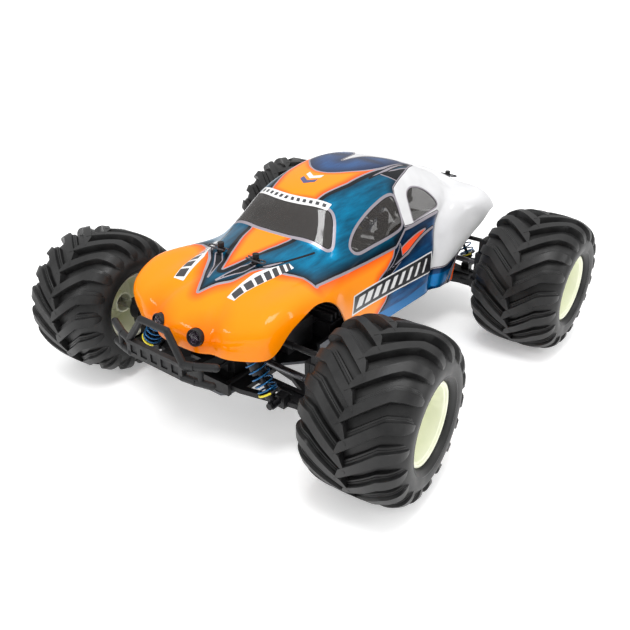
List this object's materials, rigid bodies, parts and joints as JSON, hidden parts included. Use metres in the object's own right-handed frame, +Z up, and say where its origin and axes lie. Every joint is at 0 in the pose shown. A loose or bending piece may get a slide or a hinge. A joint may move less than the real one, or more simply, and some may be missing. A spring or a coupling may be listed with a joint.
{
  "type": "rc monster truck",
  "caption": "Radio-controlled monster truck: rounded body shell on a flat chassis, chevron-lug tyres on dished wheels, sprung wishbones, linked steering and geared driveline.",
  "frame": {"origin": "on the ground, midway between the axles and between the wheels", "axes": "+X to the vehicle's left, the nose points along -Y, +Z up"},
  "size_m": [0.4498, 0.4875, 0.2128],
  "materials": {
    "body_paint": "gloss painted clear polycarbonate",
    "lamp": "gloss",
    "tyre": "matt moulded rubber",
    "wheel": "satin moulded nylon",
    "black_plastic": "satin moulded nylon",
    "grey_plastic": "satin moulded nylon",
    "plate": "dark anodised",
    "spring": "gloss blue",
    "shock": "hard anodised",
    "steel": "ground",
    "link": "dark plated",
    "clip": "gloss black wire",
    "motor": "satin",
    "battery": "shrink wrap",
    "electronics": "satin"
  },
  "bodies": {
    "chassis": {"chassis_plate": "plate", "front_bumper": "grey_plastic", "rear_bumper": "grey_plastic", "gear_case_front": "black_plastic", "gear_case_rear": "black_plastic", "shock_tower_front": "plate", "shock_tower_rear": "plate", "motor": "motor", "battery_pack": "battery", "speed_controller": "electronics", "steering_servo": "electronics", "body_posts": "black_plastic", "body_clips": "clip", "headlights": "lamp", "body_shell": "body_paint"},
    "driveline_set": {"driveline": "steel"},
    "pinion_gear": {"pinion": "steel"},
    "wishbone_fl": {"arm_fl": "black_plastic"},
    "hub_carrier_fl": {"carrier_fl": "black_plastic"},
    "camber_link_fl": {"upper_link_fl": "link"},
    "drive_shaft_fl": {"halfshaft_fl": "steel"},
    "damper_fl": {"shock_body_fl": "shock"},
    "damper_rod_fl": {"shock_shaft_fl": "steel", "spring_fl": "spring"},
    "road_wheel_fl": {"wheel_fl": "wheel", "tyre_fl": "tyre"},
    "steering_knuckle_fl": {"knuckle_fl": "black_plastic"},
    "wishbone_fr": {"arm_fr": "black_plastic"},
    "hub_carrier_fr": {"carrier_fr": "black_plastic"},
    "camber_link_fr": {"upper_link_fr": "link"},
    "drive_shaft_fr": {"halfshaft_fr": "steel"},
    "damper_fr": {"shock_body_fr": "shock"},
    "damper_rod_fr": {"shock_shaft_fr": "steel", "spring_fr": "spring"},
    "road_wheel_fr": {"wheel_fr": "wheel", "tyre_fr": "tyre"},
    "steering_knuckle_fr": {"knuckle_fr": "black_plastic"},
    "wishbone_rl": {"arm_rl": "black_plastic"},
    "hub_carrier_rl": {"carrier_rl": "black_plastic"},
    "camber_link_rl": {"upper_link_rl": "link"},
    "drive_shaft_rl": {"halfshaft_rl": "steel"},
    "damper_rl": {"shock_body_rl": "shock"},
    "damper_rod_rl": {"shock_shaft_rl": "steel", "spring_rl": "spring"},
    "road_wheel_rl": {"wheel_rl": "wheel", "tyre_rl": "tyre"},
    "wishbone_rr": {"arm_rr": "black_plastic"},
    "hub_carrier_rr": {"carrier_rr": "black_plastic"},
    "camber_link_rr": {"upper_link_rr": "link"},
    "drive_shaft_rr": {"halfshaft_rr": "steel"},
    "damper_rr": {"shock_body_rr": "shock"},
    "damper_rod_rr": {"shock_shaft_rr": "steel", "spring_rr": "spring"},
    "road_wheel_rr": {"wheel_rr": "wheel", "tyre_rr": "tyre"},
    "drag_bar": {"steering_rack": "plate"},
    "servo_saver_arm": {"servo_saver": "black_plastic"},
    "idler_arm": {"idler_bellcrank": "black_plastic"},
    "track_rod_fl": {"tie_rod_fl": "link"},
    "track_rod_fr": {"tie_rod_fr": "link"}
  },
  "joints": [
    {"name": "driveline_spin", "type": "hinge", "parent": "chassis", "child": "driveline_set", "pos_m": [0, 0.079, 0.07], "axis": [0, 1, 0], "continuous": true},
    {"name": "pinion_spin", "type": "hinge", "parent": "chassis", "child": "pinion_gear", "pos_m": [0.022, 0.079, 0.08459], "axis": [0, 1, 0], "continuous": true},
    {"name": "wishbone_fl_swing", "type": "hinge", "parent": "chassis", "child": "wishbone_fl", "pos_m": [0.025, -0.1575, 0.054], "axis": [0, -1, 0], "range_deg": [-12, 8], "stiffness_Nm_per_rad": 12, "springref_deg": -4.3},
    {"name": "hub_carrier_fl_pivot", "type": "hinge", "parent": "wishbone_fl", "child": "hub_carrier_fl", "pos_m": [0.105, -0.1575, 0.054], "axis": [0, -1, 0], "range_deg": [-8.02, 12.02]},
    {"name": "camber_link_fl_swing", "type": "hinge", "parent": "chassis", "child": "camber_link_fl", "pos_m": [0.03, -0.1575, 0.104], "axis": [0, -1, 0], "range_deg": [-12.02, 8.02]},
    {"name": "drive_shaft_fl_swing", "type": "hinge", "parent": "chassis", "child": "drive_shaft_fl", "pos_m": [0.035, -0.1575, 0.075], "axis": [0, -1, 0], "range_deg": [-12.02, 8.02]},
    {"name": "damper_fl_swing", "type": "hinge", "parent": "chassis", "child": "damper_fl", "pos_m": [0.046, -0.1865, 0.12], "axis": [0, -1, 0], "range_deg": [-4.17, 2.79]},
    {"name": "damper_fl_stroke", "type": "slide", "parent": "damper_fl", "child": "damper_rod_fl", "axis": [-0.5145, 0, 0.8575], "range_m": [-0.011, 0.0074], "deforming": ["spring_fl"]},
    {"name": "knuckle_fl_steer", "type": "hinge", "parent": "hub_carrier_fl", "child": "steering_knuckle_fl", "pos_m": [0.115, -0.1575, 0.075], "axis": [0, 0, 1], "range_deg": [-33.5, 22.5]},
    {"name": "road_wheel_fl_spin", "type": "hinge", "parent": "steering_knuckle_fl", "child": "road_wheel_fl", "pos_m": [0.17174, -0.15204, 0.075], "axis": [0.9954, 0.0958, 0], "continuous": true},
    {"name": "wishbone_fr_swing", "type": "hinge", "parent": "chassis", "child": "wishbone_fr", "pos_m": [-0.025, -0.1575, 0.054], "axis": [0, 1, 0], "range_deg": [-12, 8], "stiffness_Nm_per_rad": 12, "springref_deg": -4.3},
    {"name": "hub_carrier_fr_pivot", "type": "hinge", "parent": "wishbone_fr", "child": "hub_carrier_fr", "pos_m": [-0.105, -0.1575, 0.054], "axis": [0, 1, 0], "range_deg": [-8.02, 12.02]},
    {"name": "camber_link_fr_swing", "type": "hinge", "parent": "chassis", "child": "camber_link_fr", "pos_m": [-0.03, -0.1575, 0.104], "axis": [0, 1, 0], "range_deg": [-12.02, 8.02]},
    {"name": "drive_shaft_fr_swing", "type": "hinge", "parent": "chassis", "child": "drive_shaft_fr", "pos_m": [-0.035, -0.1575, 0.075], "axis": [0, 1, 0], "range_deg": [-12.02, 8.02]},
    {"name": "damper_fr_swing", "type": "hinge", "parent": "chassis", "child": "damper_fr", "pos_m": [-0.046, -0.1865, 0.12], "axis": [0, 1, 0], "range_deg": [-4.17, 2.79]},
    {"name": "damper_fr_stroke", "type": "slide", "parent": "damper_fr", "child": "damper_rod_fr", "axis": [0.5145, 0, 0.8575], "range_m": [-0.011, 0.0074], "deforming": ["spring_fr"]},
    {"name": "knuckle_fr_steer", "type": "hinge", "parent": "hub_carrier_fr", "child": "steering_knuckle_fr", "pos_m": [-0.115, -0.1575, 0.075], "axis": [0, 0, 1], "range_deg": [-33.52, 22.52]},
    {"name": "road_wheel_fr_spin", "type": "hinge", "parent": "steering_knuckle_fr", "child": "road_wheel_fr", "pos_m": [-0.17174, -0.16296, 0.075], "axis": [0.9954, 0.0958, 0], "continuous": true},
    {"name": "wishbone_rl_swing", "type": "hinge", "parent": "chassis", "child": "wishbone_rl", "pos_m": [0.025, 0.1575, 0.054], "axis": [0, -1, 0], "range_deg": [-12, 8], "stiffness_Nm_per_rad": 12, "springref_deg": -4.3},
    {"name": "hub_carrier_rl_pivot", "type": "hinge", "parent": "wishbone_rl", "child": "hub_carrier_rl", "pos_m": [0.105, 0.1575, 0.054], "axis": [0, -1, 0], "range_deg": [-8.02, 12.02]},
    {"name": "camber_link_rl_swing", "type": "hinge", "parent": "chassis", "child": "camber_link_rl", "pos_m": [0.03, 0.1575, 0.104], "axis": [0, -1, 0], "range_deg": [-12.02, 8.02]},
    {"name": "drive_shaft_rl_swing", "type": "hinge", "parent": "chassis", "child": "drive_shaft_rl", "pos_m": [0.035, 0.1575, 0.075], "axis": [0, -1, 0], "range_deg": [-12.02, 8.02]},
    {"name": "damper_rl_swing", "type": "hinge", "parent": "chassis", "child": "damper_rl", "pos_m": [0.046, 0.1865, 0.12], "axis": [0, -1, 0], "range_deg": [-4.17, 2.79]},
    {"name": "damper_rl_stroke", "type": "slide", "parent": "damper_rl", "child": "damper_rod_rl", "axis": [-0.5145, 0, 0.8575], "range_m": [-0.011, 0.0074], "deforming": ["spring_rl"]},
    {"name": "road_wheel_rl_spin", "type": "hinge", "parent": "hub_carrier_rl", "child": "road_wheel_rl", "pos_m": [0.172, 0.1575, 0.075], "axis": [1, 0, 0], "continuous": true},
    {"name": "wishbone_rr_swing", "type": "hinge", "parent": "chassis", "child": "wishbone_rr", "pos_m": [-0.025, 0.1575, 0.054], "axis": [0, 1, 0], "range_deg": [-12, 8], "stiffness_Nm_per_rad": 12, "springref_deg": -4.3},
    {"name": "hub_carrier_rr_pivot", "type": "hinge", "parent": "wishbone_rr", "child": "hub_carrier_rr", "pos_m": [-0.105, 0.1575, 0.054], "axis": [0, 1, 0], "range_deg": [-8.02, 12.02]},
    {"name": "camber_link_rr_swing", "type": "hinge", "parent": "chassis", "child": "camber_link_rr", "pos_m": [-0.03, 0.1575, 0.104], "axis": [0, 1, 0], "range_deg": [-12.02, 8.02]},
    {"name": "drive_shaft_rr_swing", "type": "hinge", "parent": "chassis", "child": "drive_shaft_rr", "pos_m": [-0.035, 0.1575, 0.075], "axis": [0, 1, 0], "range_deg": [-12.02, 8.02]},
    {"name": "damper_rr_swing", "type": "hinge", "parent": "chassis", "child": "damper_rr", "pos_m": [-0.046, 0.1865, 0.12], "axis": [0, 1, 0], "range_deg": [-4.17, 2.79]},
    {"name": "damper_rr_stroke", "type": "slide", "parent": "damper_rr", "child": "damper_rod_rr", "axis": [0.5145, 0, 0.8575], "range_m": [-0.011, 0.0074], "deforming": ["spring_rr"]},
    {"name": "road_wheel_rr_spin", "type": "hinge", "parent": "hub_carrier_rr", "child": "road_wheel_rr", "pos_m": [-0.172, 0.1575, 0.075], "axis": [1, 0, 0], "continuous": true},
    {"name": "drag_bar_slide", "type": "slide", "parent": "chassis", "child": "drag_bar", "axis": [1, 0, 0], "range_m": [-0.01161, 0.01723]},
    {"name": "servo_saver_arm_turn", "type": "hinge", "parent": "chassis", "child": "servo_saver_arm", "pos_m": [0.018, -0.0925, 0.084], "axis": [0, 0, 1], "range_deg": [-19.82, 29.5]},
    {"name": "idler_arm_turn", "type": "hinge", "parent": "chassis", "child": "idler_arm", "pos_m": [-0.018, -0.0925, 0.084], "axis": [0, 0, 1], "range_deg": [-19.82, 29.5]},
    {"name": "track_rod_fl_swing", "type": "hinge", "parent": "drag_bar", "child": "track_rod_fl", "pos_m": [0.03319, -0.1275, 0.0805], "axis": [0, -1, 0], "range_deg": [-12.02, 8.02]},
    {"name": "track_rod_fr_swing", "type": "hinge", "parent": "drag_bar", "child": "track_rod_fr", "pos_m": [-0.03881, -0.1275, 0.0805], "axis": [0, 1, 0], "range_deg": [-12.02, 8.02]}
  ],
  "couplings": [
    {"joint": "pinion_spin", "follows": "driveline_spin", "ratio": -2.6667},
    {"joint": "hub_carrier_fl_pivot", "follows": "wishbone_fl_swing", "ratio": -1},
    {"joint": "camber_link_fl_swing", "follows": "wishbone_fl_swing", "ratio": 1},
    {"joint": "drive_shaft_fl_swing", "follows": "wishbone_fl_swing", "ratio": 1},
    {"joint": "damper_fl_swing", "follows": "wishbone_fl_swing", "ratio": 0.346},
    {"joint": "damper_fl_stroke", "follows": "wishbone_fl_swing", "m_per_rad": 0.05158},
    {"joint": "hub_carrier_fr_pivot", "follows": "wishbone_fr_swing", "ratio": -1},
    {"joint": "camber_link_fr_swing", "follows": "wishbone_fr_swing", "ratio": 1},
    {"joint": "drive_shaft_fr_swing", "follows": "wishbone_fr_swing", "ratio": 1},
    {"joint": "damper_fr_swing", "follows": "wishbone_fr_swing", "ratio": 0.346},
    {"joint": "damper_fr_stroke", "follows": "wishbone_fr_swing", "m_per_rad": 0.05158},
    {"joint": "knuckle_fr_steer", "follows": "knuckle_fl_steer", "ratio": 1},
    {"joint": "hub_carrier_rl_pivot", "follows": "wishbone_rl_swing", "ratio": -1},
    {"joint": "camber_link_rl_swing", "follows": "wishbone_rl_swing", "ratio": 1},
    {"joint": "drive_shaft_rl_swing", "follows": "wishbone_rl_swing", "ratio": 1},
    {"joint": "damper_rl_swing", "follows": "wishbone_rl_swing", "ratio": 0.346},
    {"joint": "damper_rl_stroke", "follows": "wishbone_rl_swing", "m_per_rad": 0.05158},
    {"joint": "hub_carrier_rr_pivot", "follows": "wishbone_rr_swing", "ratio": -1},
    {"joint": "camber_link_rr_swing", "follows": "wishbone_rr_swing", "ratio": 1},
    {"joint": "drive_shaft_rr_swing", "follows": "wishbone_rr_swing", "ratio": 1},
    {"joint": "damper_rr_swing", "follows": "wishbone_rr_swing", "ratio": 0.346},
    {"joint": "damper_rr_stroke", "follows": "wishbone_rr_swing", "m_per_rad": 0.05158},
    {"joint": "drag_bar_slide", "follows": "knuckle_fl_steer", "m_per_rad": -0.0293},
    {"joint": "servo_saver_arm_turn", "follows": "knuckle_fl_steer", "ratio": -0.88},
    {"joint": "idler_arm_turn", "follows": "knuckle_fl_steer", "ratio": -0.88},
    {"joint": "track_rod_fl_swing", "follows": "wishbone_fl_swing", "ratio": 1},
    {"joint": "track_rod_fr_swing", "follows": "wishbone_fr_swing", "ratio": 1}
  ]
}
